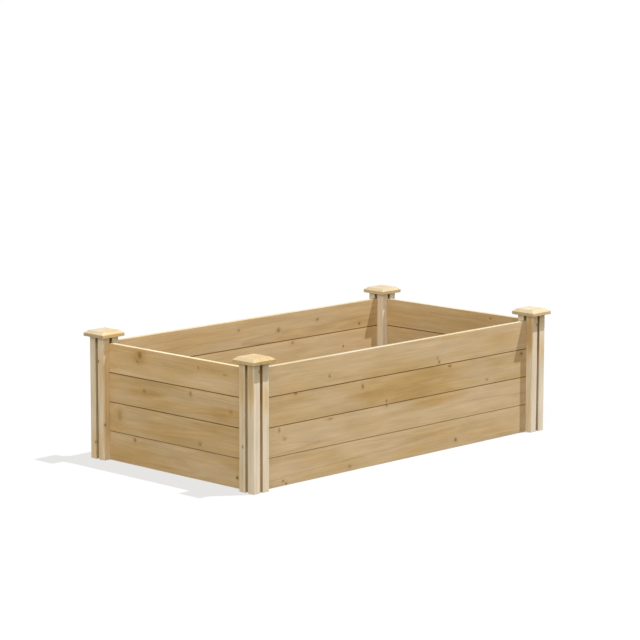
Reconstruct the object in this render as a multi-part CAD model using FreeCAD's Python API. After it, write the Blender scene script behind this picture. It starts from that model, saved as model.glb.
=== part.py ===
# Raised garden bed: four tiers of softwood planks whose dovetailed ends drop into slotted corner posts,
# and a bevelled cap on a dowel over each post. It has no floor, so roots reach the ground below.
#
# Frame: +Z up, +X along the long sides, the front long side faces -Y. The origin is on the ground at the
# centre of the bed. Sizes are in millimetres.
#
# How it goes together: each plank end is milled to a dovetail tongue. The tongues slide down the slots that
# run the full height of the posts, so the planks of a side stack on each other between two posts. Every post
# has the same slot in all four faces: two hold planks, and the two outer ones stay open, ready for the planks
# of a bed set beside this one. The caps close the slots, and each pulls off with the dowel glued into it.
import FreeCAD
import Part
import math
import os

# Planks
TIERS = 4
PLANK_HEIGHT = 88.9
PLANK_THICKNESS = 15.9
PLANK_EDGE_RADIUS = 1.6

# Bed: distances between the centres of the posts
POST_SPACING_X = 1219.2
POST_SPACING_Y = 643.0

# Posts
POST_WIDTH = 61.3
POST_RISE = 17.4  # how far the post stands above the top plank
POST_CORNER_RADIUS = 2.0

# Dovetail: a slot in the post, and the tongue on each end of a plank that slides down it
SLOT_MOUTH = 10.9
SLOT_DEPTH = 12.0
TONGUE_SIDE_CLEARANCE = 0.3  # between a flank of the tongue and the slot's wall
TONGUE_END_CLEARANCE = 0.5  # between the tongue's end and the slot's floor
SHOULDER_CLEARANCE = 0.3  # between the plank's shoulder and the face of the post

# Caps
CAP_OVERHANG = 13.0
CAP_EDGE_HEIGHT = 10.0  # the upright band below the bevel
CAP_THICKNESS = 18.5
CAP_BEVEL_WIDTH = 11.5
CAP_EDGE_EASE = 0.8

# Dowels: glued into the cap, and a push fit in the post
DOWEL_DIAMETER = 9.5
DOWEL_IN_CAP = 10.0
DOWEL_IN_POST = 20.0
DOWEL_END_CHAMFER = 1.2
DOWEL_GLUE_CLEARANCE = 0.05
DOWEL_PUSH_CLEARANCE = 0.1
DOWEL_HOLE_RELIEF = 2.0  # free depth under the dowel

# Worked out from the sizes above
POST_HEIGHT = TIERS * PLANK_HEIGHT + POST_RISE
CAP_WIDTH = POST_WIDTH + 2 * CAP_OVERHANG
SLOT_FLOOR_WIDTH = PLANK_THICKNESS  # so the widest part of the tongue is nearly the plank's full thickness
TONGUE_LENGTH = SLOT_DEPTH - TONGUE_END_CLEARANCE - SHOULDER_CLEARANCE
LONG_PLANK_BODY = POST_SPACING_X - POST_WIDTH - 2 * SHOULDER_CLEARANCE
SHORT_PLANK_BODY = POST_SPACING_Y - POST_WIDTH - 2 * SHOULDER_CLEARANCE

UP = FreeCAD.Vector(0, 0, 1)
GROUND = FreeCAD.Vector(0, 0, 0)


def slot_half_width(depth):
    """Half the slot's width at a depth below the face of the post."""
    flare = (SLOT_FLOOR_WIDTH - SLOT_MOUTH) / 2 / SLOT_DEPTH
    return SLOT_MOUTH / 2 + depth * flare


def closed_face(points):
    """A flat face inside straight edges through the points."""
    return Part.Face(Part.makePolygon([*points, points[0]]))


def quarter_turns(point, turns):
    """The point turned about the Z axis by a number of right angles."""
    angle = turns * math.pi / 2
    return FreeCAD.Vector(
        point.x * math.cos(angle) - point.y * math.sin(angle),
        point.x * math.sin(angle) + point.y * math.cos(angle),
        point.z,
    )


def post_section():
    """The post's outline seen from above: a square with rounded corners and a dovetail slot in each side."""
    half = POST_WIDTH / 2
    radius = POST_CORNER_RADIUS
    on_arc = half - radius + radius * math.sqrt(0.5)
    side = [
        FreeCAD.Vector(half, -half + radius, 0),
        FreeCAD.Vector(half, -slot_half_width(0), 0),
        FreeCAD.Vector(half - SLOT_DEPTH, -slot_half_width(SLOT_DEPTH), 0),
        FreeCAD.Vector(half - SLOT_DEPTH, slot_half_width(SLOT_DEPTH), 0),
        FreeCAD.Vector(half, slot_half_width(0), 0),
        FreeCAD.Vector(half, half - radius, 0),
    ]
    corner = [FreeCAD.Vector(on_arc, on_arc, 0), FreeCAD.Vector(half - radius, half, 0)]
    edges = []
    for turns in range(4):
        straight = [quarter_turns(point, turns) for point in side]
        edges += [Part.makeLine(a, b) for a, b in zip(straight, straight[1:])]
        middle, end = [quarter_turns(point, turns) for point in corner]
        edges.append(Part.Arc(straight[-1], middle, end).toShape())
    return Part.Face(Part.Wire(edges))


def make_post():
    """A post standing on the origin, with the hole for the cap's dowel in its top."""
    post = post_section().extrude(UP * POST_HEIGHT)
    hole_depth = DOWEL_IN_POST + DOWEL_HOLE_RELIEF
    hole_radius = DOWEL_DIAMETER / 2 + DOWEL_PUSH_CLEARANCE
    hole = Part.makeCylinder(hole_radius, hole_depth, UP * (POST_HEIGHT - hole_depth))
    return post.cut(hole)


def plank_stock(length):
    """Planed board of the given length along X, centred on the origin, with its four long edges eased."""
    half = PLANK_THICKNESS / 2
    board = Part.makeBox(
        length, PLANK_THICKNESS, PLANK_HEIGHT, FreeCAD.Vector(-length / 2, -half, 0)
    )
    long_edges = [edge for edge in board.Edges if edge.Length > length - 0.001 and is_along_x(edge)]
    return board.makeFillet(PLANK_EDGE_RADIUS, long_edges)


def is_along_x(edge):
    """True for a straight edge that runs along X."""
    start, end = edge.Vertexes[0].Point, edge.Vertexes[-1].Point
    return abs(start.y - end.y) < 0.001 and abs(start.z - end.z) < 0.001


def plank_plan(body_length):
    """The plank's outline seen from above: a straight body with a dovetail tongue at each end."""
    shoulder = body_length / 2
    end = shoulder + TONGUE_LENGTH
    thick = PLANK_THICKNESS / 2
    neck = slot_half_width(0) - TONGUE_SIDE_CLEARANCE
    tip = slot_half_width(SLOT_DEPTH - TONGUE_END_CLEARANCE) - TONGUE_SIDE_CLEARANCE
    post_face = shoulder + SHOULDER_CLEARANCE
    lower_half = [(shoulder, -thick), (shoulder, -neck), (post_face, -neck), (end, -tip)]
    right = lower_half + [(x, -y) for x, y in reversed(lower_half)]
    left = [(-x, -y) for x, y in right]
    return closed_face([FreeCAD.Vector(x, y, 0) for x, y in right + left])


def make_plank(body_length):
    """A plank centred on the origin along X, standing on its lower edge."""
    stock = plank_stock(body_length + 2 * TONGUE_LENGTH)
    return stock.common(plank_plan(body_length).extrude(UP * PLANK_HEIGHT))


def eased(corners, amount):
    """The corners of a flat outline, each cut off at the given distance along both of its sides."""
    points = []
    for before, corner, after in zip(corners[-1:] + corners, corners, corners[1:] + corners[:1]):
        for neighbour in (before, after):
            points.append(corner + (neighbour - corner).normalize() * amount)
    return points


def cap_outline():
    """The cap seen from the side, in the XZ plane: an upright edge, and a bevel up to the flat top."""
    half = CAP_WIDTH / 2
    top = half - CAP_BEVEL_WIDTH
    corners = [(-half, 0), (half, 0), (half, CAP_EDGE_HEIGHT), (top, CAP_THICKNESS)]
    corners += [(-top, CAP_THICKNESS), (-half, CAP_EDGE_HEIGHT)]
    return eased([FreeCAD.Vector(x, 0, z) for x, z in corners], CAP_EDGE_EASE)


def make_cap():
    """A cap lying on the origin: a square plate bevelled round its top, with a blind hole below for its dowel."""
    half = CAP_WIDTH / 2
    run = closed_face(cap_outline()).extrude(FreeCAD.Vector(0, CAP_WIDTH, 0))
    run.translate(FreeCAD.Vector(0, -half, 0))
    crossing = run.copy()
    crossing.rotate(GROUND, UP, 90)
    square = [FreeCAD.Vector(x, y, 0) for x, y in ((-half, -half), (half, -half), (half, half), (-half, half))]
    upright = closed_face(eased(square, CAP_EDGE_EASE)).extrude(UP * CAP_THICKNESS)
    hole = Part.makeCylinder(DOWEL_DIAMETER / 2 + DOWEL_GLUE_CLEARANCE, DOWEL_IN_CAP)
    return run.common(crossing).common(upright).cut(hole)


def make_dowel():
    """A turned dowel with chamfered ends, on the Z axis: z = 0 is where the post's top meets the cap."""
    radius = DOWEL_DIAMETER / 2
    chamfer = DOWEL_END_CHAMFER
    profile = [
        (0, -DOWEL_IN_POST),
        (radius - chamfer, -DOWEL_IN_POST),
        (radius, -DOWEL_IN_POST + chamfer),
        (radius, DOWEL_IN_CAP - chamfer),
        (radius - chamfer, DOWEL_IN_CAP),
        (0, DOWEL_IN_CAP),
    ]
    half_section = closed_face([FreeCAD.Vector(x, 0, z) for x, z in profile])
    return half_section.revolve(GROUND, UP, 360)


def placed(shape, x, y, z, turn=0):
    """A copy of the shape, turned about the Z axis by degrees and then moved."""
    copy = shape.copy()
    copy.rotate(GROUND, UP, turn)
    copy.translate(FreeCAD.Vector(x, y, z))
    return copy


def assemble():
    """Every piece of the bed in its place, by name."""
    post, cap, dowel = make_post(), make_cap(), make_dowel()
    long_plank, short_plank = make_plank(LONG_PLANK_BODY), make_plank(SHORT_PLANK_BODY)
    reach_x, reach_y = POST_SPACING_X / 2, POST_SPACING_Y / 2
    pieces = {}
    for depth_name, y in (("front", -reach_y), ("back", reach_y)):
        for side_name, x in (("left", -reach_x), ("right", reach_x)):
            corner = f"{depth_name}_{side_name}"
            pieces[f"post_{corner}"] = placed(post, x, y, 0)
            pieces[f"cap_{corner}"] = placed(cap, x, y, POST_HEIGHT)
            pieces[f"dowel_{corner}"] = placed(dowel, x, y, POST_HEIGHT)
    for tier in range(TIERS):
        z = tier * PLANK_HEIGHT
        pieces[f"plank_front_{tier + 1}"] = placed(long_plank, 0, -reach_y, z)
        pieces[f"plank_back_{tier + 1}"] = placed(long_plank, 0, reach_y, z, 180)
        pieces[f"plank_left_{tier + 1}"] = placed(short_plank, -reach_x, 0, z, 90)
        pieces[f"plank_right_{tier + 1}"] = placed(short_plank, reach_x, 0, z, -90)
    return pieces


def export(pieces):
    """One file for each piece, and a line that says what it measures."""
    os.makedirs("parts", exist_ok=True)
    for name, shape in pieces.items():
        solid = shape.Solids[0]
        solid.exportStep(f"parts/{name}.step")
        box = solid.BoundBox
        state = "valid" if solid.isValid() and len(shape.Solids) == 1 else "NOT VALID"
        size = f"{box.XLength:.1f} x {box.YLength:.1f} x {box.ZLength:.1f} mm"
        print(f"{name}: {size}, {solid.Volume / 1000:.1f} cm3, {state}")


export(assemble())
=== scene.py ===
# %% [markdown]
# # A raised garden bed in planed softwood
#
# The bed is a kit: planks with a dovetail on each end drop into slotted corner posts, and a bevelled cap on
# a dowel closes each post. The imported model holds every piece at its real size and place. This lesson
# models the same pieces again with the small things that make wood look like wood: eased edges that wander
# a little, knots that stand a hair's breadth off the surface, growth rings that run right through each
# board.
#
# Everything is in metres. Z is up, X runs along the long sides, and the front looks towards -Y.

import bmesh
import bpy
import math
import random
from collections import namedtuple
from mathutils import Matrix, Vector


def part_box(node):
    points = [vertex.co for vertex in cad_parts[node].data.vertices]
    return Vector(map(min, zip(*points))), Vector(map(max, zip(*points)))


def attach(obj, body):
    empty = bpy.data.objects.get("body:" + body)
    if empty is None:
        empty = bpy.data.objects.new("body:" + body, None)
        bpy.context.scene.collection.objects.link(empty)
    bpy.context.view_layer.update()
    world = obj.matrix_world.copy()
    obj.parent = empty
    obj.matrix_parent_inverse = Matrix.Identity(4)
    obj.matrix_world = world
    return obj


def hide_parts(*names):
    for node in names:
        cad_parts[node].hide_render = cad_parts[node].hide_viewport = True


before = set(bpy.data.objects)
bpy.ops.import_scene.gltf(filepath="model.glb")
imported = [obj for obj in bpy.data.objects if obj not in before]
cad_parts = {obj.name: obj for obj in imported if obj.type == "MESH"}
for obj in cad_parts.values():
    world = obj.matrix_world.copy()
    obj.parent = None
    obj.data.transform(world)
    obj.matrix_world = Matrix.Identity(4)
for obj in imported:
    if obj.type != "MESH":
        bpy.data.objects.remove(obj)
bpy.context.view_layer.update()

# %% [markdown]
# ## Sizes
#
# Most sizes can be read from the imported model, so the new pieces can't drift from it. A box doesn't tell
# how deep a slot is or how thick a tongue, so those few sizes are written here again.

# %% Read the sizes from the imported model
MM = 0.001


def size_of(node):
    low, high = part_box(node)
    return high - low


def centre_of(node):
    low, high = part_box(node)
    return (low + high) / 2


POST_WIDTH, _, POST_HEIGHT = size_of("post_front_left")
LONG_PLANK, PLANK_THICKNESS, PLANK_HEIGHT = size_of("plank_front_1")
SHORT_PLANK = size_of("plank_left_1").y
CAP_WIDTH, _, CAP_THICKNESS = size_of("cap_front_left")
DOWEL_DIAMETER, _, DOWEL_LENGTH = size_of("dowel_front_left")

SLOT_MOUTH = 10.9 * MM
SLOT_FLOOR = PLANK_THICKNESS
SLOT_DEPTH = 12.0 * MM
TONGUE_SIDE_CLEARANCE = 0.3 * MM
TONGUE_END_CLEARANCE = 0.5 * MM
SHOULDER_CLEARANCE = 0.3 * MM
TONGUE_LENGTH = SLOT_DEPTH - TONGUE_END_CLEARANCE - SHOULDER_CLEARANCE
CAP_EDGE_HEIGHT = 10.0 * MM
CAP_BEVEL_WIDTH = 11.5 * MM
print(f"plank {LONG_PLANK:.3f} m long, post {POST_HEIGHT:.3f} m high, cap {CAP_WIDTH:.4f} m wide")

# %% [markdown]
# ## The camera
#
# The picture of this bed was taken from far away with a long lens, so the edges that run away from the
# camera hardly converge. A short lens close by would show the same pieces with far more perspective. The
# camera is built from a compass bearing, a tilt and a tiny roll, turned into one rotation.

# %% Camera
CAMERA_PLACE = (-5.7143, -5.5744, 1.6946)
CAMERA_LENS = 148.16
CAMERA_BEARING = math.radians(45.64)  # from +Y towards +X
CAMERA_TILT = math.radians(9.30)  # below the horizon
CAMERA_ROLL = math.radians(0.09)
CAMERA_REACH = 200  # nothing further away is drawn

aim = Matrix.Rotation(-CAMERA_BEARING, 3, "Z") @ Matrix.Rotation(math.pi / 2 - CAMERA_TILT, 3, "X")
aim = aim @ Matrix.Rotation(CAMERA_ROLL, 3, "Z")
bpy.ops.object.camera_add(location=CAMERA_PLACE, rotation=aim.to_euler())
camera = bpy.context.object
camera.name = "camera"
camera.data.lens = CAMERA_LENS
camera.data.clip_end = CAMERA_REACH
bpy.context.scene.camera = camera
bpy.context.scene.view_settings.view_transform = "Standard"
print("camera is", round(camera.location.length, 2), "m from the bed")

# %% [markdown]
# ## Sunlight on a white ground
#
# A high sun from the right gives the caps their bright tops and throws a short, crisp shadow down each
# post. A broad, soft lamp from the front left fills the shaded sides, and leaves the slots and the corners
# under the caps darker, because its light can't reach into them. The sky does the rest. It is brightest
# near the horizon, so it lights the sides of the bed more than the tops.
#
# Light Path lets the camera see plain white behind the bed while the wood is lit by this dimmer sky, so the
# background is white without pouring more light on the object.

# %% Sun, fill lamp and sky
SUN_DIRECTION = Vector((0.30, -0.228, 0.926))  # from the bed towards the sun
SUN_STRENGTH = 5.0
SUN_SPREAD = math.radians(0.5)
SUN_COLOUR = (0.98, 1.0, 1.05)
FILL_DIRECTION = Vector((-0.75, -0.5, 0.43))
FILL_STRENGTH = 1.6
FILL_SPREAD = math.radians(60)
FILL_COLOUR = (1.0, 0.965, 0.87)
LAMP_DISTANCE = 5
HORIZON_STRENGTH = 0.52
ZENITH_STRENGTH = 0.34
SKY_COLOUR = (*FILL_COLOUR, 1)
WHITE = (1, 1, 1, 1)


def add_sun(name, direction, strength, spread, colour):
    """A lamp so far away that its rays are parallel. The spread softens the edges of its shadows."""
    bpy.ops.object.light_add(type="SUN", location=direction * LAMP_DISTANCE)
    lamp = bpy.context.object
    lamp.name = name
    lamp.rotation_euler = direction.to_track_quat("Z", "Y").to_euler()
    lamp.data.energy = strength
    lamp.data.angle = spread
    lamp.data.color = colour


def empty_tree(owner):
    """Turns nodes on for a world or a material, and removes the ones that it starts with."""
    owner.use_nodes = True
    owner.node_tree.nodes.clear()
    return owner.node_tree


def new_node(tree, kind, inputs=(), **options):
    """Adds a node, sets its own options, and links or fills the inputs that are given by name or number."""
    node = tree.nodes.new("ShaderNode" + kind)
    for name, value in options.items():
        setattr(node, name, value)
    for name, value in dict(inputs).items():
        if isinstance(value, bpy.types.NodeSocket):
            tree.links.new(value, node.inputs[name])
        else:
            node.inputs[name].default_value = value
    return node


def math_node(tree, operation, *values):
    return new_node(tree, "Math", enumerate(values), operation=operation).outputs[0]


def one_axis(tree, vector, name):
    """One axis of a vector, by name."""
    return new_node(tree, "SeparateXYZ", {0: vector}).outputs[name]


def split_by_ray(tree, for_light, for_camera):
    """One shader for rays that only carry light, and one for what the camera, mirrors and glass show."""
    ray = new_node(tree, "LightPath").outputs
    mirrored = math_node(tree, "MAXIMUM", ray["Is Glossy Ray"], ray["Is Transmission Ray"])
    seen = math_node(tree, "MAXIMUM", ray["Is Camera Ray"], mirrored)
    return new_node(tree, "MixShader", {"Fac": seen, 1: for_light, 2: for_camera}).outputs[0]


add_sun("sun", SUN_DIRECTION, SUN_STRENGTH, SUN_SPREAD, SUN_COLOUR)
add_sun("fill", FILL_DIRECTION, FILL_STRENGTH, FILL_SPREAD, FILL_COLOUR)

sky = bpy.data.worlds.new("sky")
bpy.context.scene.world = sky
tree = empty_tree(sky)
upwards = one_axis(tree, new_node(tree, "TexCoord").outputs["Generated"], "Z")
strength = new_node(tree, "MapRange", {
    "Value": upwards, "To Min": HORIZON_STRENGTH, "To Max": ZENITH_STRENGTH
})
lighting_sky = new_node(tree, "Background", {"Color": SKY_COLOUR, "Strength": strength.outputs[0]})
white_sky = new_node(tree, "Background", {"Color": WHITE})
sky_shader = split_by_ray(tree, lighting_sky.outputs[0], white_sky.outputs[0])
new_node(tree, "OutputWorld", {"Surface": sky_shader})
print("two lamps, and a sky of", len(tree.nodes), "nodes")

# %% [markdown]
# ## The floor
#
# The floor is white to the camera and keeps only a light grey shadow. A real white floor would throw so
# much light back that the shaded side of the bed would glow, and the shadow on it would leave the foot of
# the bed dark. So the floor is two things at once. What the camera sees is a mix of a grey diffuse floor,
# which carries the shadow, and plain white. Every other ray meets a floor that glows faintly, like a light
# table turned low.

# %% Floor
FLOOR_SIZE = 60
FLOOR_GREY = 0.5
FLOOR_WHITE_SHARE = 0.7  # of what the camera sees
FLOOR_GLOW = 0.2

bpy.ops.mesh.primitive_plane_add(size=FLOOR_SIZE, location=(0, 0, 0))
floor = bpy.context.object
floor.name = "floor"
floor_finish = bpy.data.materials.new("white_floor")
floor_finish.cycles.emission_sampling = "NONE"
tree = empty_tree(floor_finish)
grey = new_node(tree, "BsdfDiffuse", {"Color": (FLOOR_GREY, FLOOR_GREY, FLOOR_GREY, 1)})
white = new_node(tree, "Emission", {"Color": WHITE})
shadowed_white = new_node(tree, "MixShader", {
    "Fac": FLOOR_WHITE_SHARE, 1: grey.outputs[0], 2: white.outputs[0]
})
glow = new_node(tree, "Emission", {"Color": SKY_COLOUR, "Strength": FLOOR_GLOW})
floor_shader = split_by_ray(tree, glow.outputs[0], shadowed_white.outputs[0])
new_node(tree, "OutputMaterial", {"Surface": floor_shader})
floor.data.materials.append(floor_finish)
print("floor:", FLOOR_SIZE, "m wide")

# %% [markdown]
# ## Picking edges and faces by where they are
#
# By hand, you click the edges you want to bevel. In a script, you say where they are instead. These helpers
# open a piece in edit mode and select what passes a test on its place or direction, and the operators then
# act on that selection just as they do in the window.

# %% Selection helpers
TOUCH = 0.1 * MM  # places closer than this count as one


def deselect_all():
    """An operator acts on all that is selected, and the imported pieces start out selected."""
    bpy.ops.object.select_all(action="DESELECT")


def select_only(piece):
    deselect_all()
    piece.select_set(True)
    bpy.context.view_layer.objects.active = piece


def edit(piece):
    select_only(piece)
    bpy.ops.object.mode_set(mode="EDIT")


def stop_editing():
    bpy.ops.object.mode_set(mode="OBJECT")


def pick(piece, kind, test):
    """In edit mode, selects the corners, edges or faces that pass the test."""
    bpy.ops.mesh.select_mode(type=kind)
    bpy.ops.mesh.select_all(action="DESELECT")
    mesh = bmesh.from_edit_mesh(piece.data)
    if kind == "FACE":
        mesh.normal_update()
    for part in {"VERT": mesh.verts, "EDGE": mesh.edges, "FACE": mesh.faces}[kind]:
        part.select_set(bool(test(part)))
    bmesh.update_edit_mesh(piece.data)


def pick_corners(piece, test):
    """Selects the corners (vertices) whose place passes the test."""
    pick(piece, "VERT", lambda corner: test(corner.co))


def pick_edges(piece, test):
    """Selects the edges whose two ends pass the test."""
    pick(piece, "EDGE", lambda edge: test(edge.verts[0].co, edge.verts[1].co))


def pick_faces(piece, test):
    """Selects the faces whose middle and normal pass the test."""
    pick(piece, "FACE", lambda face: test(face.calc_center_median(), face.normal))


def extrude(by):
    bpy.ops.mesh.extrude_region_move(TRANSFORM_OT_translate={"value": by})


def runs_along(axis, least):
    """A test for edges that run along an axis (0, 1, 2 for X, Y, Z) and are at least this long."""
    def test(start, end):
        step = end - start
        return abs(step[axis]) >= least and abs(step[axis]) > 0.999 * step.length
    return test


def apply_modifier(piece, kind, **settings):
    """Adds a modifier with these settings and applies it at once, so that only its result stays."""
    select_only(piece)
    modifier = piece.modifiers.new(kind.lower(), kind)
    for name, value in settings.items():
        setattr(modifier, name, value)
    bpy.ops.object.modifier_apply(modifier=modifier.name)


def finish_place(piece):
    """Puts the piece's place, turn and scale into its mesh, so the object itself sits at the origin."""
    select_only(piece)
    bpy.ops.object.transform_apply(location=True, rotation=True, scale=True)


print("selection helpers ready")

# %% [markdown]
# ## A plank
#
# The real plank is a planed board with its long edges eased, and a dovetail milled on each end. It could be
# an outline seen from above that is extruded upwards, but then the eased edges would have to be cut across
# the dovetail. Starting from the board is closer to the workshop: ease the edges of a stretched cube, then
# cut its end faces into strips, and pull a flaring tongue out of the middle strip. Squeezing a whole end
# face to the tongue's width would leave slivers with no area above and below it. Cuts along and across the
# board come last, because the knots and the slight warp need corners to move.

# %% Model a plank
PLANK_EDGE_RADIUS = 1.4 * MM
CUT_SPACING_ALONG = 14 * MM
CUTS_ACROSS = 7


def half_slot(depth):
    """Half the width of a post's slot at a depth below the post's face."""
    return SLOT_MOUTH / 2 + (SLOT_FLOOR - SLOT_MOUTH) / 2 * depth / SLOT_DEPTH


def cut_with_plane(point, normal):
    bpy.ops.mesh.select_all(action="SELECT")
    bpy.ops.mesh.bisect(plane_co=point, plane_no=normal)


def pull_tongue(plank, end, direction):
    """Pulls the dovetail out of the middle strip of the end face at x = end."""
    neck = half_slot(0) - TONGUE_SIDE_CLEARANCE
    tip = half_slot(SLOT_DEPTH - TONGUE_END_CLEARANCE) - TONGUE_SIDE_CLEARANCE
    for side in (-1, 1):
        cut_with_plane((0, side * neck, 0), (0, 1, 0))
    pick_faces(plank, lambda middle, normal: abs(middle.x - end) < TOUCH and abs(middle.y) < neck)
    extrude((SHOULDER_CLEARANCE * direction, 0, 0))
    extrude((TONGUE_LENGTH * direction, 0, 0))
    bpy.ops.transform.resize(value=(1, tip / neck, 1), center_override=(end, 0, 0))


def make_plank(name, length):
    """A plank lying along X, centred on the origin, with cuts for the knots and the warp."""
    body = length - 2 * (TONGUE_LENGTH + SHOULDER_CLEARANCE)
    deselect_all()
    bpy.ops.mesh.primitive_cube_add(size=1)
    plank = bpy.context.object
    plank.name = name
    plank.scale = (body, PLANK_THICKNESS, PLANK_HEIGHT)
    finish_place(plank)
    edit(plank)
    pick_edges(plank, runs_along(0, body / 2))
    bpy.ops.mesh.bevel(offset=PLANK_EDGE_RADIUS, segments=3)
    pull_tongue(plank, body / 2, 1)
    pull_tongue(plank, -body / 2, -1)
    pick_edges(plank, runs_along(0, body / 2))
    bpy.ops.mesh.subdivide(number_cuts=round(body / CUT_SPACING_ALONG))
    pick_edges(plank, runs_along(2, PLANK_HEIGHT / 2))
    bpy.ops.mesh.subdivide(number_cuts=CUTS_ACROSS)
    stop_editing()
    print(name, "is", round(plank.dimensions.x, 4), "m long, with", len(plank.data.polygons), "faces")
    return plank


long_plank = make_plank("long_plank", LONG_PLANK)
short_plank = make_plank("short_plank", SHORT_PLANK)

# %% [markdown]
# ## A post
#
# The real post is milled on all four faces with the same dovetail slot. Cutting four slots out of a solid
# block would need booleans. It is easier to draw the post's section once, as a square cut into cells, throw
# away the slot's cells, flare the slot's floor, and pull the whole section up to the post's height.

# %% Model a post
POST_CORNER_RADIUS = 2.0 * MM
SLOT_ARRIS = 0.6 * MM
FLAT_JOIN = math.radians(1)  # faces that meet at less than this are merged


def make_post_section(post):
    half = POST_WIDTH / 2
    slot_floor = half - SLOT_DEPTH
    for place in (-slot_floor, -SLOT_MOUTH / 2, SLOT_MOUTH / 2, slot_floor):
        cut_with_plane((place, 0, 0), (1, 0, 0))
        cut_with_plane((0, place, 0), (0, 1, 0))

    def in_slot(middle, normal):
        across, inward = sorted((abs(middle.x), abs(middle.y)))
        return across < SLOT_MOUTH / 2 and inward > slot_floor

    pick_faces(post, in_slot)
    bpy.ops.mesh.delete(type="FACE")
    flare = SLOT_FLOOR / SLOT_MOUTH
    for axis in (0, 1):
        other = 1 - axis
        pick_corners(post, lambda p: abs(abs(p[axis]) - SLOT_MOUTH / 2) < TOUCH
                     and abs(abs(p[other]) - slot_floor) < TOUCH)
        value = [1, 1, 1]
        value[axis] = flare
        bpy.ops.transform.resize(value=value, center_override=(0, 0, 0))


def make_post():
    """A post standing on the origin."""
    deselect_all()
    bpy.ops.mesh.primitive_plane_add(size=POST_WIDTH)
    post = bpy.context.object
    post.name = "post"
    edit(post)
    make_post_section(post)
    bpy.ops.mesh.select_all(action="SELECT")
    extrude((0, 0, POST_HEIGHT))
    bpy.ops.mesh.select_all(action="SELECT")
    bpy.ops.mesh.normals_make_consistent(inside=False)
    bpy.ops.mesh.dissolve_limited(angle_limit=FLAT_JOIN)
    upright = runs_along(2, POST_HEIGHT / 2)
    corner = POST_WIDTH - TOUCH
    pick_edges(post, lambda a, b: upright(a, b) and abs(a.x) + abs(a.y) > corner)
    bpy.ops.mesh.bevel(offset=POST_CORNER_RADIUS, segments=4)
    mouth = POST_WIDTH / 2 + SLOT_MOUTH / 2
    pick_edges(post, lambda a, b: upright(a, b) and abs(abs(a.x) + abs(a.y) - mouth) < TOUCH)
    bpy.ops.mesh.bevel(offset=SLOT_ARRIS, segments=2)
    stop_editing()
    return post


post = make_post()
print("post has", len(post.data.polygons), "faces before the dowel hole")

# %% [markdown]
# The cap's dowel goes into a hole drilled in the post's top. A hole that goes straight into a flat face is
# the one place where a boolean is simplest: a cylinder is the drill.

# %% Drill the dowel holes
DOWEL_IN_CAP = 10.0 * MM
DOWEL_IN_POST = DOWEL_LENGTH - DOWEL_IN_CAP
PUSH_CLEARANCE = 0.1 * MM
GLUE_CLEARANCE = 0.05 * MM
HOLE_RELIEF = 2.0 * MM
HOLE_SIDES = 40


def drill(piece, diameter, bottom, top):
    """Cuts a round hole on the Z axis from bottom to top."""
    deselect_all()
    bpy.ops.mesh.primitive_cylinder_add(
        vertices=HOLE_SIDES, radius=diameter / 2, depth=top - bottom, location=(0, 0, (top + bottom) / 2)
    )
    bit = bpy.context.object
    apply_modifier(piece, "BOOLEAN", operation="DIFFERENCE", object=bit, solver="EXACT")
    bpy.data.objects.remove(bit)


hole_depth = DOWEL_IN_POST + HOLE_RELIEF
drill(post, DOWEL_DIAMETER + 2 * PUSH_CLEARANCE, POST_HEIGHT - hole_depth, POST_HEIGHT + hole_depth)

# %% [markdown]
# Saw cuts leave a sharp arris on the post's two ends, and a few strokes of sandpaper take it off. Only the
# outline of each end is picked, not the rim of the dowel's hole. Then the long sides get cuts, so that they
# can warp.

# %% Ease the ends of the post and cut its sides
END_ARRIS = 0.5 * MM
POST_CUTS = 40

edit(post)
for height in (0, POST_HEIGHT):
    pick_edges(post, lambda a, b: max(abs(a.z - height), abs(b.z - height)) < TOUCH
               and max(abs(a.x), abs(a.y)) > DOWEL_DIAMETER)
    bpy.ops.mesh.bevel(offset=END_ARRIS, segments=2)
pick_edges(post, runs_along(2, POST_HEIGHT / 2))
bpy.ops.mesh.subdivide(number_cuts=POST_CUTS)
stop_editing()
print("post has", len(post.data.polygons), "faces")

# %% [markdown]
# ## A cap
#
# The cap is a square plate with a bevel planed round its top. It starts as a slab as high as the upright
# edge. Its top face is pulled up and made smaller, which leaves the four slopes. The corners are then eased
# with a bevel on every sharp edge, and a hole is drilled underneath for the glued end of the dowel.

# %% Model a cap
CAP_EDGE_RADIUS = 0.7 * MM
CAP_CUTS = 7
SHARP_EDGE = math.radians(20)


def make_cap():
    """A cap lying on the XY plane, centred on the Z axis."""
    deselect_all()
    bpy.ops.mesh.primitive_cube_add(size=1, location=(0, 0, CAP_EDGE_HEIGHT / 2))
    cap = bpy.context.object
    cap.name = "cap"
    cap.scale = (CAP_WIDTH, CAP_WIDTH, CAP_EDGE_HEIGHT)
    finish_place(cap)
    edit(cap)
    pick_faces(cap, lambda middle, normal: normal.z > 0.9)
    extrude((0, 0, CAP_THICKNESS - CAP_EDGE_HEIGHT))
    top_share = 1 - 2 * CAP_BEVEL_WIDTH / CAP_WIDTH
    bpy.ops.transform.resize(value=(top_share, top_share, 1), center_override=(0, 0, CAP_THICKNESS))
    bpy.ops.mesh.select_all(action="SELECT")
    bpy.ops.mesh.subdivide(number_cuts=CAP_CUTS)
    bpy.ops.mesh.select_mode(type="EDGE")
    bpy.ops.mesh.select_all(action="DESELECT")
    bpy.ops.mesh.edges_select_sharp(sharpness=SHARP_EDGE)
    bpy.ops.mesh.bevel(offset=CAP_EDGE_RADIUS, segments=3)
    stop_editing()
    return cap


cap = make_cap()
drill(cap, DOWEL_DIAMETER + 2 * GLUE_CLEARANCE, -DOWEL_IN_CAP, DOWEL_IN_CAP)
print("cap has", len(cap.data.polygons), "faces")

# %% [markdown]
# ## A dowel
#
# A cap's dowel is only seen when the cap is lifted. It is a turned peg with chamfered ends. Shallow flutes
# along its side let the glue and the air out of the hole, and they are made by insetting every second strip
# of the cylinder's side and sinking it a little.

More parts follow.
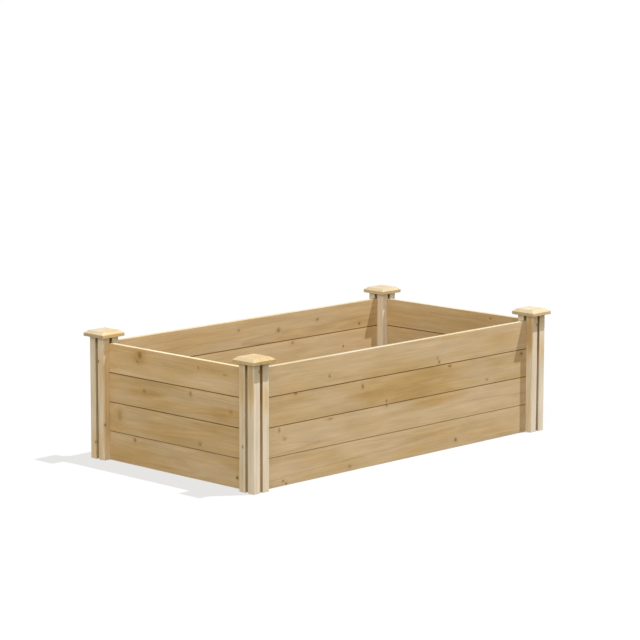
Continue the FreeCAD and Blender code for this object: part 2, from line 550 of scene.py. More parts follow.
# %% Model a dowel
DOWEL_SIDES = 36
DOWEL_CHAMFER = 1.2 * MM
FLUTE_DEPTH = 0.3 * MM
FLUTE_EDGE = 0.15 * MM


def make_dowel():
    """A dowel on the Z axis: z = 0 is where the post's top meets the cap."""
    deselect_all()
    bpy.ops.mesh.primitive_cylinder_add(
        vertices=DOWEL_SIDES, radius=DOWEL_DIAMETER / 2, depth=DOWEL_LENGTH,
        location=(0, 0, DOWEL_IN_CAP - DOWEL_LENGTH / 2)
    )
    dowel = bpy.context.object
    dowel.name = "dowel"
    finish_place(dowel)
    edit(dowel)
    pick_edges(dowel, lambda a, b: abs(a.z - b.z) < TOUCH)
    bpy.ops.mesh.bevel(offset=DOWEL_CHAMFER, segments=2)
    step = 2 * math.pi / DOWEL_SIDES

    def second_strip(middle, normal):
        around = math.atan2(middle.y, middle.x) / step
        return abs(normal.z) < 0.1 and math.floor(around) % 2 == 0

    pick_faces(dowel, second_strip)
    bpy.ops.mesh.inset(thickness=FLUTE_EDGE, depth=-FLUTE_DEPTH, use_individual=True)
    stop_editing()
    return dowel


dowel = make_dowel()
print("dowel has", len(dowel.data.polygons), "faces")

# %% [markdown]
# ## Where the knots are
#
# A knot is the stump of a branch that the trunk grew round, so it goes right through the board, and it does
# two things: it is dark, hard wood that the planer leaves a little proud, and it pushes the grain around it
# aside. Both the mesh and the finish need to know where each knot is, so the knots are listed first. A
# place on a plank is measured from its middle: to the right, as seen from outside the bed, and up.

# %% Knots of the planks
Knot = namedtuple("Knot", "along up wide high dark out deep", defaults=(0, 800))
# Sizes are in millimetres. Dark is from 0, faint, to 1, nearly black. A plank's knot goes right through it,
# so its place across the thickness, out, is 0, and it is deeper than any board.

PLANK_KNOTS = {
    "plank_left_4": [Knot(-153, 25, 17, 22, 0.5), Knot(-165, 10, 9, 9, 0.35), Knot(99, 20, 8, 9, 0.4),
                     Knot(212, 13, 18, 5, 0.3)],
    "plank_left_3": [Knot(-135, 8, 14, 10, 0.4), Knot(66, 28, 10, 16, 0.4), Knot(235, -2, 9, 6, 0.4)],
    "plank_left_2": [Knot(-245, 8, 22, 34, 0.25), Knot(105, -27, 11, 12, 0.4)],
    "plank_left_1": [Knot(-178, 32, 9, 13, 0.5), Knot(260, -13, 8, 8, 1.0)],
    "plank_front_4": [Knot(-310, -15, 12, 12, 0.45), Knot(167, -34, 8, 9, 0.6), Knot(160, -22, 5, 6, 0.5)],
    "plank_front_3": [Knot(-450, 41, 12, 7, 0.65), Knot(-170, 25, 10, 13, 0.5), Knot(216, 36, 13, 8, 0.6),
                      Knot(-67, -33, 7, 12, 0.45), Knot(554, 32, 12, 10, 0.6), Knot(390, -29, 9, 6, 0.4)],
    "plank_front_2": [Knot(-67, 43, 8, 9, 0.45), Knot(-517, 32, 10, 16, 0.4), Knot(-495, 4, 12, 12, 0.3),
                      Knot(-306, 36, 20, 6, 0.35)],
    "plank_front_1": [Knot(246, -20, 12, 13, 0.6), Knot(-224, -30, 12, 8, 0.3), Knot(-489, -39, 6, 6, 0.9),
                      Knot(-501, -30, 6, 5, 0.6)],
}
print(sum(len(knots) for knots in PLANK_KNOTS.values()), "knots in the front and left planks")

# %% [markdown]
# The back and right planks get knots of their own, scattered by a random number generator. It starts from a
# fixed seed, so every run scatters them alike.

# %% Knots of the planks behind
TIERS = 4
chance = random.Random(11)


def scattered_knots(length):
    """Two to five knots anywhere along a plank, most of them small."""
    knots = []
    for _ in range(chance.randint(2, 5)):
        along = chance.uniform(-0.46, 0.46) * length / MM
        up = chance.uniform(-36, 36)
        width = chance.uniform(6, 12)
        knots.append(Knot(along, up, width, width * chance.uniform(0.7, 1.3), chance.uniform(0.3, 0.7)))
    return knots


for tier in range(1, TIERS + 1):
    PLANK_KNOTS[f"plank_back_{tier}"] = scattered_knots(LONG_PLANK)
    PLANK_KNOTS[f"plank_right_{tier}"] = scattered_knots(SHORT_PLANK)
print(sum(len(knots) for knots in PLANK_KNOTS.values()), "knots in all planks")

# %% [markdown]
# ## Every plank in its place
#
# Each plank is a copy of its template with its own mesh, because no two may share their knots or their
# warp. The knots are raised first, while the plank still lies along X. The faces around a knot are
# subdivided, and one corner on each side of the board is pulled out with proportional editing, which takes
# its neighbours along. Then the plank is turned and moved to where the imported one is.

# %% Copy, raise knots and put in place
KNOT_RISE = 0.35 * MM
KNOT_CUTS = 3


def copy_of(template, name):
    piece = template.copy()
    piece.data = template.data.copy()
    piece.name = name
    bpy.context.collection.objects.link(piece)
    return piece


def raise_knot(plank, knot):
    """Subdivides the broad faces around the knot and pulls its middle out on both of them."""
    place = Vector((knot.along, 0, knot.up)) * MM
    reach = max(knot.wide, knot.high) * MM

    def around_knot(middle, normal):
        return abs(normal.y) > 0.9 and abs(middle.x - place.x) < reach and abs(middle.z - place.z) < reach

    pick_faces(plank, around_knot)
    bpy.ops.mesh.subdivide(number_cuts=KNOT_CUTS)
    for side in (-1, 1):
        spot = place + Vector((0, side * PLANK_THICKNESS / 2, 0))
        corners = bmesh.from_edit_mesh(plank.data).verts
        nearest = min(corners, key=lambda corner: (corner.co - spot).length).co.copy()
        pick_corners(plank, lambda p: (p - nearest).length < TOUCH)
        bpy.ops.transform.translate(
            value=(0, side * KNOT_RISE, 0), use_proportional_edit=True,
            proportional_edit_falloff="SMOOTH", proportional_size=reach
        )


def middle_of(piece):
    """The middle of the piece's box. Its corners 0 and 6 are opposite ones."""
    return (Vector(piece.bound_box[0]) + Vector(piece.bound_box[6])) / 2


def put_in_place(piece, node, turn):
    """Turns the piece about Z by degrees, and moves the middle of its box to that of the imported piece."""
    piece.rotation_euler.z = math.radians(turn)
    piece.location = centre_of(node) - middle_of(piece)
    finish_place(piece)


SIDE_TURNS = {"front": 0, "right": 90, "back": 180, "left": 270}
planks = {}
for side, turn in SIDE_TURNS.items():
    template = long_plank if side in ("front", "back") else short_plank
    for tier in range(1, TIERS + 1):
        node = f"plank_{side}_{tier}"
        plank = copy_of(template, node + "_planed")
        edit(plank)
        for knot in PLANK_KNOTS[node]:
            raise_knot(plank, knot)
        stop_editing()
        put_in_place(plank, node, turn)
        planks[node] = plank
print(len(planks), "planks in place")

# %% [markdown]
# ## Posts, caps and dowels in their places
#
# The four posts are alike, and so are the caps and dowels. A cap is turned by a quarter from one corner to
# the next, so that its grain doesn't run the same way on all of them.

# %% Posts, caps and dowels
CORNER_TURNS = {"front_left": 0, "front_right": 90, "back_right": 180, "back_left": 270}
posts, caps, dowels = {}, {}, {}
for corner, turn in CORNER_TURNS.items():
    for pieces, template, kind, ending in (
        (posts, post, "post", "milled"), (caps, cap, "cap", "bevelled"), (dowels, dowel, "dowel", "turned")
    ):
        pieces[corner] = copy_of(template, f"{kind}_{corner}_{ending}")
        put_in_place(pieces[corner], f"{kind}_{corner}", turn)
for template in (long_plank, short_plank, post, cap, dowel):
    bpy.data.objects.remove(template)
print(len(posts) + len(caps) + len(dowels), "pieces at the corners")

# %% [markdown]
# ## A little warp
#
# Wood moves as it dries, and no board stays dead straight. A Displace modifier with a soft cloud texture
# moves each face by less than half a millimetre. Its middle level is as high as the clouds ever get, so it
# only ever moves a face inwards, and no piece grows into its neighbour. The clouds are read at the mesh's
# own coordinates, and since the place of every piece is in its mesh, each piece meets another part of the
# clouds.
#
# Smooth shading then rounds the eased edges, and the Weighted Normal modifier keeps the broad faces flat
# right up to them.

# %% Warp and smooth every piece
PLANK_WARP = 0.5 * MM
POST_WARP = 0.4 * MM
CAP_WARP = 0.2 * MM
WARP_LENGTH = 0.13
CLOUDS_HIGHEST = 1.2
SMOOTH_ANGLE = math.radians(40)

warp_clouds = bpy.data.textures.new("warp_clouds", "CLOUDS")
warp_clouds.noise_scale = WARP_LENGTH
warp_clouds.noise_depth = 1


def warp(piece, amount):
    apply_modifier(
        piece, "DISPLACE", texture=warp_clouds, texture_coords="LOCAL",
        mid_level=CLOUDS_HIGHEST, strength=amount
    )


def smooth(piece):
    select_only(piece)
    bpy.ops.object.shade_smooth_by_angle(angle=SMOOTH_ANGLE)
    apply_modifier(piece, "WEIGHTED_NORMAL", keep_sharp=True, weight=60)


for pieces, amount in ((planks, PLANK_WARP), (posts, POST_WARP), (caps, CAP_WARP)):
    for piece in pieces.values():
        warp(piece, amount)
for pieces in (planks, posts, caps, dowels):
    for piece in pieces.values():
        smooth(piece)
print("warped and smoothed")

# %% [markdown]
# ## The finish of the wood
#
# The boards are bare planed softwood. An image wrapped round a box never fits its ends, so the wood here is
# solid: every point inside a board knows how far it is from the middle of the trunk, and the growth rings
# are drawn from that distance. Where a face cuts along the rings you get long flames, where it cuts across
# them you get fine stripes, and the sawn ends show the rings themselves.
#
# The steps that all the wood shares are node groups, built once. First come small helpers that save typing:
# each adds one node, links or fills its inputs, and hands back its output.

# %% Node helpers
SOCKETS = {"value": "NodeSocketFloat", "vector": "NodeSocketVector", "colour": "NodeSocketColor"}


def vector_node(tree, operation, *values):
    node = new_node(tree, "VectorMath", enumerate(values), operation=operation)
    return node.outputs["Value" if operation == "LENGTH" else "Vector"]


def product(tree, first, *others):
    """All the values multiplied together."""
    for other in others:
        first = math_node(tree, "MULTIPLY", first, other)
    return first


def slope(tree, value, start, end):
    """Rises softly from 0 at the start to 1 at the end. The start may be the larger of the two."""
    values = {"Value": value, "From Min": start, "From Max": end}
    return new_node(tree, "MapRange", values, interpolation_type="SMOOTHSTEP").outputs["Result"]


def clamped(tree, value):
    """The value, or 0 or 1 where it goes beyond them."""
    return math_node(tree, "MINIMUM", math_node(tree, "MAXIMUM", value, 0), 1)


def noise(tree, place, scale, detail=2.0, output="Fac"):
    values = {"Vector": place, "Scale": scale, "Detail": detail}
    return new_node(tree, "TexNoise", values, noise_dimensions="3D").outputs[output]


def grain_noise(tree, place, squeeze, scale, detail=2.0, output="Fac"):
    """Noise drawn out along the grain. The squeeze is how fast it changes that way, against 1 across."""
    return noise(tree, vector_node(tree, "MULTIPLY", place, (squeeze, 1, 1)), scale, detail, output)


def shift(tree, coloured_noise, reach):
    """Coloured noise as a small move either way, by up to the reach along each axis."""
    either_way = vector_node(tree, "SUBTRACT", coloured_noise, (0.5, 0.5, 0.5))
    return vector_node(tree, "MULTIPLY", either_way, Vector(reach) * 2)


def around_one(tree, value, spread):
    """Noise from 0 to 1 as a factor that differs from 1 by half the spread either way."""
    return math_node(tree, "MULTIPLY_ADD", value, spread, 1 - spread / 2)


def mix_colours(tree, share, first, second, blend="MIX"):
    values = {0: share, 6: first, 7: second}  # a Mix node's colours are its inputs 6 and 7
    return new_node(tree, "Mix", values, data_type="RGBA", blend_type=blend).outputs[2]


def start_group(name, inputs, outputs):
    """A node group with these sockets, listed by kind. Returns the group and the ends of its two nodes."""
    group = bpy.data.node_groups.new(name, "ShaderNodeTree")
    for direction, kinds in (("INPUT", inputs), ("OUTPUT", outputs)):
        for kind, names in kinds.items():
            for socket_name in names:
                group.interface.new_socket(socket_name, in_out=direction, socket_type=SOCKETS[kind])
    return group, group.nodes.new("NodeGroupInput").outputs, group.nodes.new("NodeGroupOutput").inputs


def use_group(tree, group, values):
    """Places a node group, fills its inputs by name and returns its outputs."""
    return new_node(tree, "Group", values, node_tree=group).outputs


print("node helpers ready")

# %% [markdown]
# The knot group is placed once for each knot, in a chain. It measures how far a point is from the knot, in
# knot sizes, with a little noise so that no knot is a perfect oval. From that come the core, which is the
# knot's own brown wood with a dark heart, and the halo, the resin-rich wood around it. It also passes on a
# bent position: near the knot, points are read from further in, which spreads the grain apart as it flows
# past.

# %% The knot group
# Where each part of a knot fades out and where it is full, in knot sizes from the knot's middle
HEART = (0.95, 0.35)
CORE = (1.5, 0.85)
HALO = (3.4, 0.7)
BENT_GRAIN = (3.6, 0.6)
HEART_SHARE = 0.65  # of the knot's darkness
CORE_SHARE = 0.55
RAGGED_SCALE = 190
RAGGED_REACH = (0.45, 0.45, 0.45)
GRAIN_PULL = 0.7

knot_group, given, result = start_group(
    "knot", {"vector": ["Position", "Centre", "Size"], "value": ["Darkness", "Core", "Halo"]},
    {"vector": ["Position"], "value": ["Core", "Halo"]},
)
tree = knot_group
from_centre = vector_node(tree, "SUBTRACT", given["Position"], given["Centre"])
in_knot_sizes = vector_node(tree, "DIVIDE", from_centre, given["Size"])
ragged = shift(tree, noise(tree, from_centre, RAGGED_SCALE, output="Color"), RAGGED_REACH)
distance = vector_node(tree, "LENGTH", vector_node(tree, "ADD", in_knot_sizes, ragged))
heart = math_node(tree, "MULTIPLY", slope(tree, distance, *HEART), HEART_SHARE)
core = math_node(tree, "MULTIPLY_ADD", slope(tree, distance, *CORE), CORE_SHARE, heart)
for name, mask in (("Core", core), ("Halo", slope(tree, distance, *HALO))):
    mask = math_node(tree, "MULTIPLY", mask, given["Darkness"])
    tree.links.new(math_node(tree, "MAXIMUM", mask, given[name]), result[name])

pull = math_node(tree, "MULTIPLY", slope(tree, distance, *BENT_GRAIN), GRAIN_PULL)
pull_across = new_node(tree, "CombineXYZ", {"Y": pull, "Z": pull}).outputs[0]
drawn_in = vector_node(tree, "MULTIPLY", from_centre, pull_across)
tree.links.new(vector_node(tree, "SUBTRACT", given["Position"], drawn_in), result["Position"])
print("knot group:", len(tree.nodes), "nodes")

# %% [markdown]
# No board has one colour. Heartwood and resin leave broad golden patches, and this group adds one such
# patch: a soft oval whose edge is broken up by noise that is stretched along the grain. On the posts and
# caps, some of these patches are painted shade and painted light instead.

# %% The stain group
STAIN_EDGE = (1.75, 0.75)  # where a patch fades out and where it is full, in patch sizes from its middle
EDGE_NOISE = (0.15, 60)  # squeeze along the grain, and scale
EDGE_BREAK = 1.2  # how far the noise moves the edge

stain_and_shade_group, given, result = start_group(
    "stain_and_shade", {"vector": ["Position", "Centre", "Size"], "value": ["Amount", "StainAndShade"]}, {"value": ["StainAndShade"]}
)
tree = stain_and_shade_group
from_centre = vector_node(tree, "SUBTRACT", given["Position"], given["Centre"])
distance = vector_node(tree, "LENGTH", vector_node(tree, "DIVIDE", from_centre, given["Size"]))
edge_noise = grain_noise(tree, given["Position"], *EDGE_NOISE)
broken = math_node(tree, "MULTIPLY_ADD", edge_noise, EDGE_BREAK, distance)
patch = math_node(tree, "MULTIPLY", slope(tree, broken, *STAIN_EDGE), given["Amount"])
tree.links.new(math_node(tree, "ADD", patch, given["StainAndShade"]), result["StainAndShade"])
print("stain group:", len(tree.nodes), "nodes")

# %% [markdown]
# Light fails in two kinds of place: in the seam between two planks, and down in the slots of a post. Their
# deep shade is painted into the colour. Each has a small group that gives 1 deep inside and 0 on the open
# faces. A plank's own material says how strong the painted shade of the seam is at its upper and at its
# lower edge, because the top plank has none above it and the lowest none below. In a post, a point is in a
# slot if it is well inside the square, unless it is on the sawn end. The painted shade in a slot is darkest
# just below the cap, and so is the painted shadow line where the cap sits on the post's faces.

# %% The seam and slot groups
SEAM_REACH = 2.4 * MM  # from the plank's edge
SLOT_LIP = 1.3 * MM  # the mask starts this far below the post's face
SLOT_SHADE = 0.42  # how strong the painted shade is along most of the slot
CAP_SHADE = 0.38  # how much stronger it gets under the cap
CAP_SHADE_REACH = 45 * MM
LIP_SHADE = 0.5  # how strong the painted shadow line is on the post's faces where the cap meets them
LIP_REACH = 5 * MM
SAWN_END = (0.7, 0.3)  # how much a surface faces along the post where the mask is off, and on

seam_group, given, result = start_group(
    "seam", {"vector": ["Position"], "value": ["Upper", "Lower"]}, {"value": ["Painted Shade"]}
)
tree = seam_group
height = one_axis(tree, given["Position"], "Z")
edge = PLANK_HEIGHT / 2
at_upper = slope(tree, height, edge - SEAM_REACH, edge - SEAM_REACH / 4)
at_lower = slope(tree, height, SEAM_REACH - edge, SEAM_REACH / 4 - edge)
at_upper = math_node(tree, "MULTIPLY", at_upper, given["Upper"])
at_lower = math_node(tree, "MULTIPLY", at_lower, given["Lower"])
tree.links.new(math_node(tree, "MAXIMUM", at_upper, at_lower), result["Painted Shade"])

slot_group, given, result = start_group("slot", {"vector": ["Position", "Facing"]}, {"value": ["Painted Shade"]})
tree = slot_group
from_middle = vector_node(tree, "ABSOLUTE", given["Position"])
outermost = math_node(tree, "MAXIMUM", one_axis(tree, from_middle, "Y"), one_axis(tree, from_middle, "Z"))
inside = slope(tree, outermost, POST_WIDTH / 2 - SLOT_LIP, POST_WIDTH / 2 - 4 * SLOT_LIP)
not_end = slope(tree, one_axis(tree, vector_node(tree, "ABSOLUTE", given["Facing"]), "X"), *SAWN_END)
height = one_axis(tree, given["Position"], "X")
top = POST_HEIGHT / 2
under_cap = slope(tree, height, top - CAP_SHADE_REACH, top)
in_slot = product(tree, inside, not_end, math_node(tree, "MULTIPLY_ADD", under_cap, CAP_SHADE, SLOT_SHADE))
at_lip = product(tree, slope(tree, height, top - LIP_REACH, top), not_end, LIP_SHADE)
tree.links.new(math_node(tree, "MAXIMUM", in_slot, at_lip), result["Painted Shade"])
print("seam and slot groups:", len(seam_group.nodes) + len(slot_group.nodes), "nodes")

# %% [markdown]
# The high sun falls hardest on the top edges of the planks and the tops of the caps, and their colour is
# tinted to temper it: painted shade that darkens the caps' tops, and a painted highlight that turns the
# planks' top edges greyer. This group says how far a surface looks up. The tint is given for each kind of
# piece.

# %% The weather group
LOOKING_UP = (0.57, 0.9)  # the normal's height where the painted top tint starts, and where it is full

painted_top_light_group, given, result = start_group("painted_top_light", {"vector": ["Normal"]}, {"value": ["Painted Top Light"]})
upwards = one_axis(painted_top_light_group, given["Normal"], "Z")
painted_top_light_group.links.new(slope(painted_top_light_group, upwards, *LOOKING_UP), result["Painted Top Light"])
print("weather group:", len(painted_top_light_group.nodes), "nodes")

# %% [markdown]
# The wood group turns a position in the board into colour, roughness and height. X runs along the grain,
# and Pith is where the middle of the trunk would be, often outside the board. Each ring is pale early wood
# that darkens into a thin line of late wood, and a random number for each ring makes some lines strong and
# others faint, because summers differ. Soft clouds and fine fibres, both stretched along the grain, do the
# rest.
#
# Height is in metres, so the Bump node after it can keep a distance of 1 and the grain has a real depth.

# %% The wood group
SEED_STEP = (1.7, 0.61, 0.93)  # how far one seed moves the noise
TAPER = 0.012  # how much a trunk narrows along its length
BEND_REACH = (0, 9 * MM, 9 * MM)
WAVE_REACH = 1.6 * MM
# Noise drawn out along the grain: how much it is squeezed that way, its scale, and its detail
BENDS = (0.12, 13)
WAVES = (0.45, 55)
CLOUDS = (0.2, 17, 4)
BLOTCHES = (0.16, 48, 3)
STREAKS = (0.03, 150, 4)
FIBRES = (0.03, 1500, 2)
CLOUD_EDGE = (0.3, 0.72)
# A ring goes from 0 to 1. It darkens slowly, and ends at once
RING_DARKENS = (0.2, 0.9)
RING_ENDS = (1.0, 0.9)
SUMMERS_DIFFER = 1.6  # a higher power leaves fewer strong rings
HALO_GOLD = 0.55
HALO_LINES = 0.8
STREAK_SHADE = 0.3
BLOTCH_SHADE = 0.36
FIBRE_SHADE = 0.16
END_GRAIN = (0.5, 0.95)  # how much a surface faces along the board where the shade starts, and is full
END_SHADE = 0.18
# The colour that the painted shade in seams and slots multiplies the wood by
PAINTED_SHADE_COLOUR = (0.37, 0.26, 0.05, 1)
ROUGHNESS = 0.6
FIBRE_ROUGHNESS = 0.2
KNOT_SMOOTHNESS = 0.18
RING_SMOOTHNESS = 0.08
RING_RISE = 0.06 * MM
STREAK_RISE = 0.12 * MM
FIBRE_RISE = 0.05 * MM

wood_group, given, result = start_group(
    "planed_wood",
    {"vector": ["Position", "Facing", "Pith"],
     "value": ["Seed", "Ring Width", "Figure", "Cloudiness", "StainAndShade", "Core", "Halo", "Painted Shade",
               "Painted Top Light"],
     "colour": ["Painted Top Tint", "Pale", "Golden", "Brown", "Knot"]},
    {"colour": ["Color"], "value": ["Roughness", "Height"]},
)
tree = wood_group
seed_shift = new_node(tree, "VectorMath", {0: SEED_STEP, "Scale": given["Seed"]}, operation="SCALE")
own_place = vector_node(tree, "ADD", given["Position"], seed_shift.outputs[0])

# Rings: the distance from the pith, made a little uneven by the bends and waves of the trunk
bends = shift(tree, grain_noise(tree, own_place, *BENDS, output="Color"), BEND_REACH)
from_pith = vector_node(tree, "SUBTRACT", given["Position"], given["Pith"])
across = vector_node(tree, "MULTIPLY", from_pith, (0, 1, 1))
radius = vector_node(tree, "LENGTH", vector_node(tree, "ADD", across, bends))
radius = math_node(tree, "MULTIPLY_ADD", one_axis(tree, given["Position"], "X"), TAPER, radius)
waves = math_node(tree, "SUBTRACT", grain_noise(tree, own_place, *WAVES), 0.5)
radius = math_node(tree, "MULTIPLY_ADD", waves, WAVE_REACH, radius)
rings = math_node(tree, "DIVIDE", radius, given["Ring Width"])
in_ring = math_node(tree, "FRACT", rings)
ring_number = math_node(tree, "ADD", math_node(tree, "FLOOR", rings), given["Seed"])
summer = new_node(tree, "TexWhiteNoise", {"W": ring_number}, noise_dimensions="1D").outputs["Value"]
strength = math_node(tree, "POWER", summer, SUMMERS_DIFFER)
late_wood = product(tree, slope(tree, in_ring, *RING_DARKENS), slope(tree, in_ring, *RING_ENDS), strength)

# Colour, from the broad to the fine
clouds = slope(tree, grain_noise(tree, own_place, *CLOUDS), *CLOUD_EDGE)
clouds = math_node(tree, "MULTIPLY", clouds, given["Cloudiness"])
blotches = grain_noise(tree, own_place, *BLOTCHES)
streaks = grain_noise(tree, own_place, *STREAKS)
fibres = grain_noise(tree, own_place, *FIBRES)
golden = math_node(tree, "ADD", clouds, given["StainAndShade"])
golden = math_node(tree, "MULTIPLY_ADD", given["Halo"], HALO_GOLD, golden)
brownish = math_node(tree, "MULTIPLY_ADD", golden, 0.5, -0.5)  # above 0 where there is more gold than 1
halo_lines = math_node(tree, "MULTIPLY_ADD", given["Halo"], HALO_LINES, 1)
lines = product(tree, late_wood, given["Figure"], halo_lines)
colour = mix_colours(tree, clamped(tree, golden), given["Pale"], given["Golden"])
colour = mix_colours(tree, clamped(tree, brownish), colour, given["Brown"])
colour = mix_colours(tree, clamped(tree, lines), colour, given["Brown"])
end_grain = slope(tree, one_axis(tree, vector_node(tree, "ABSOLUTE", given["Facing"]), "X"), *END_GRAIN)
shade = product(
    tree, around_one(tree, streaks, STREAK_SHADE), around_one(tree, blotches, BLOTCH_SHADE),
    around_one(tree, fibres, FIBRE_SHADE), math_node(tree, "MULTIPLY_ADD", end_grain, -END_SHADE, 1)
)
colour = vector_node(tree, "MULTIPLY", colour, shade)
colour = mix_colours(tree, given["Core"], colour, given["Knot"])
# Painted light and shade: faces that look up take the tint that stands in for the high sun
colour = mix_colours(tree, given["Painted Top Light"], colour, given["Painted Top Tint"], "MULTIPLY")
# Painted shade: deep in the seams and the slots the colour is darkened
colour = mix_colours(tree, given["Painted Shade"], colour, PAINTED_SHADE_COLOUR, "MULTIPLY")
tree.links.new(colour, result["Color"])

# Late wood and knots are smoother than the rest
roughness = math_node(tree, "MULTIPLY_ADD", fibres, FIBRE_ROUGHNESS, ROUGHNESS)
roughness = math_node(tree, "MULTIPLY_ADD", given["Core"], -KNOT_SMOOTHNESS, roughness)
roughness = math_node(tree, "MULTIPLY_ADD", late_wood, -RING_SMOOTHNESS, roughness)
tree.links.new(roughness, result["Roughness"])
height = math_node(tree, "MULTIPLY", late_wood, RING_RISE)
height = math_node(tree, "MULTIPLY_ADD", streaks, STREAK_RISE, height)
tree.links.new(math_node(tree, "MULTIPLY_ADD", fibres, FIBRE_RISE, height), result["Height"])
print("wood group:", len(tree.nodes), "nodes")

# %% [markdown]
# ## One material for each piece
#
# Every board was cut from another place in another trunk, so each piece has a material of its own, with its
# own seed, pith and tone. A Mapping node of the type Texture moves the pattern to the piece and turns it,
# so that X runs along the board. Everything that is one number for the whole piece, such as the specular
# level, is set on the shader itself.
#
# Colours are easier to choose as screen values from 0 to 255, and the helper turns them into the linear
# values that a shader works with.

# %% Build a piece's material
def wood_colour(red, green, blue, tone):
    """A linear colour from screen values. Tone makes it lighter or darker."""
    def linear(value):
        share = value / 255
        return share / 12.92 if share <= 0.04045 else ((share + 0.055) / 1.055) ** 2.4
    return (linear(red) * tone, linear(green) * tone, linear(blue) * tone, 1)


Look = namedtuple("Look", "tone cloudiness figure pith_out pith_up ring seed")
StainAndShade = namedtuple("StainAndShade", "along up wide high amount out deep", defaults=(0, 800))  # as for a knot
SHADES = ("Pale", "Golden", "Brown", "Knot")
PALETTES = {
    "plank": ((207, 180, 141), (194, 160, 105), (150, 108, 62), (104, 66, 36)),
    "post": ((230, 217, 196), (222, 196, 154), (180, 148, 104), (104, 68, 42)),
    "cap": ((206, 184, 146), (199, 168, 114), (160, 122, 76), (110, 76, 46)),
    "dowel": ((214, 190, 150), (200, 166, 118), (170, 130, 84), (110, 76, 46)),
}
# Painted light and shade on faces that look up: the tint darkens the tops of the caps and posts under the
# high sun, and turns the top edges of the planks greyer, like a highlight
PAINTED_TOP_TINTS = {
    "plank": (0.80, 0.97, 1.2, 1),
    "post": (0.7, 0.76, 0.88, 1),
    "cap": (0.7, 0.76, 0.88, 1),
    "dowel": (1, 1, 1, 1),
}
SPECULAR_LEVEL = 0.25


def centre_and_size(mark):
    """The middle and the half sizes, in the board's own axes, of a knot or a stain."""
    centre = Vector((mark.along, mark.out, mark.up)) * MM
    return {"Centre": centre, "Size": Vector((mark.wide, mark.deep, mark.high)) * MM / 2}


def wood_material(piece, palette, look, board_turn, knots=(), stains_and_shade=(), seams=None):
    """Gives the piece its own wood. board_turn turns X to where the grain runs. The seams of a plank say how
    dark it is at its upper and its lower edge."""
    finish = bpy.data.materials.new(piece.name + "_wood")
    tree = empty_tree(finish)
    place = new_node(tree, "TexCoord").outputs

    def in_board_axes(source, centre):
        values = {"Vector": place[source], "Location": centre, "Rotation": board_turn}
        return new_node(tree, "Mapping", values, vector_type="TEXTURE").outputs[0]

    in_board = in_board_axes("Object", middle_of(piece))
    facing = in_board_axes("Normal", (0, 0, 0))

    # Stains of the wood, and on the posts and caps also patches of painted light and shade
    stain_and_shade = 0.0
    for patch in stains_and_shade:
        values = {"Position": in_board, "Amount": patch.amount, "StainAndShade": stain_and_shade, **centre_and_size(patch)}
        stain_and_shade = use_group(tree, stain_and_shade_group, values)["StainAndShade"]
    flow = {"Position": in_board, "Core": 0.0, "Halo": 0.0}
    for knot in knots:
        values = {"Position": flow["Position"], "Core": flow["Core"], "Halo": flow["Halo"]}
        flow = use_group(tree, knot_group, {**values, "Darkness": knot.dark, **centre_and_size(knot)})
    # The painted shade of a plank's seams and of a post's slots
    painted_shade = 0.0
    if palette == "plank":
        painted_shade = use_group(tree, seam_group, {"Position": in_board, **seams})["Painted Shade"]
    if palette == "post":
        painted_shade = use_group(tree, slot_group, {"Position": in_board, "Facing": facing})["Painted Shade"]

    wood = use_group(tree, wood_group, {
        "Position": flow["Position"], "Core": flow["Core"], "Halo": flow["Halo"], "StainAndShade": stain_and_shade,
        "Painted Shade": painted_shade, "Facing": facing, "Seed": look.seed, "Figure": look.figure,
        "Pith": Vector((0, -look.pith_out, look.pith_up)) * MM, "Ring Width": look.ring * MM,
        "Cloudiness": look.cloudiness, "Painted Top Tint": PAINTED_TOP_TINTS[palette],
        "Painted Top Light": use_group(tree, painted_top_light_group, {"Normal": place["Normal"]})["Painted Top Light"],
        **{name: wood_colour(*screen, look.tone) for name, screen in zip(SHADES, PALETTES[palette])},
    })
    bump = new_node(tree, "Bump", {"Distance": 1.0, "Height": wood["Height"]})
    shader = new_node(tree, "BsdfPrincipled", {
        "Base Color": wood["Color"], "Roughness": wood["Roughness"], "Normal": bump.outputs[0],
        "Specular IOR Level": SPECULAR_LEVEL,
    })
    new_node(tree, "OutputMaterial", {"Surface": shader.outputs[0]})
    piece.data.materials.clear()
    piece.data.materials.append(finish)


print("palettes:", ", ".join(PALETTES))

# %% [markdown]
# The looks of the planks are given one board after another: how light it is, how cloudy, how strong its
# growth rings are, where the pith was, how wide the rings are, and a seed that picks another piece of the
# noise.

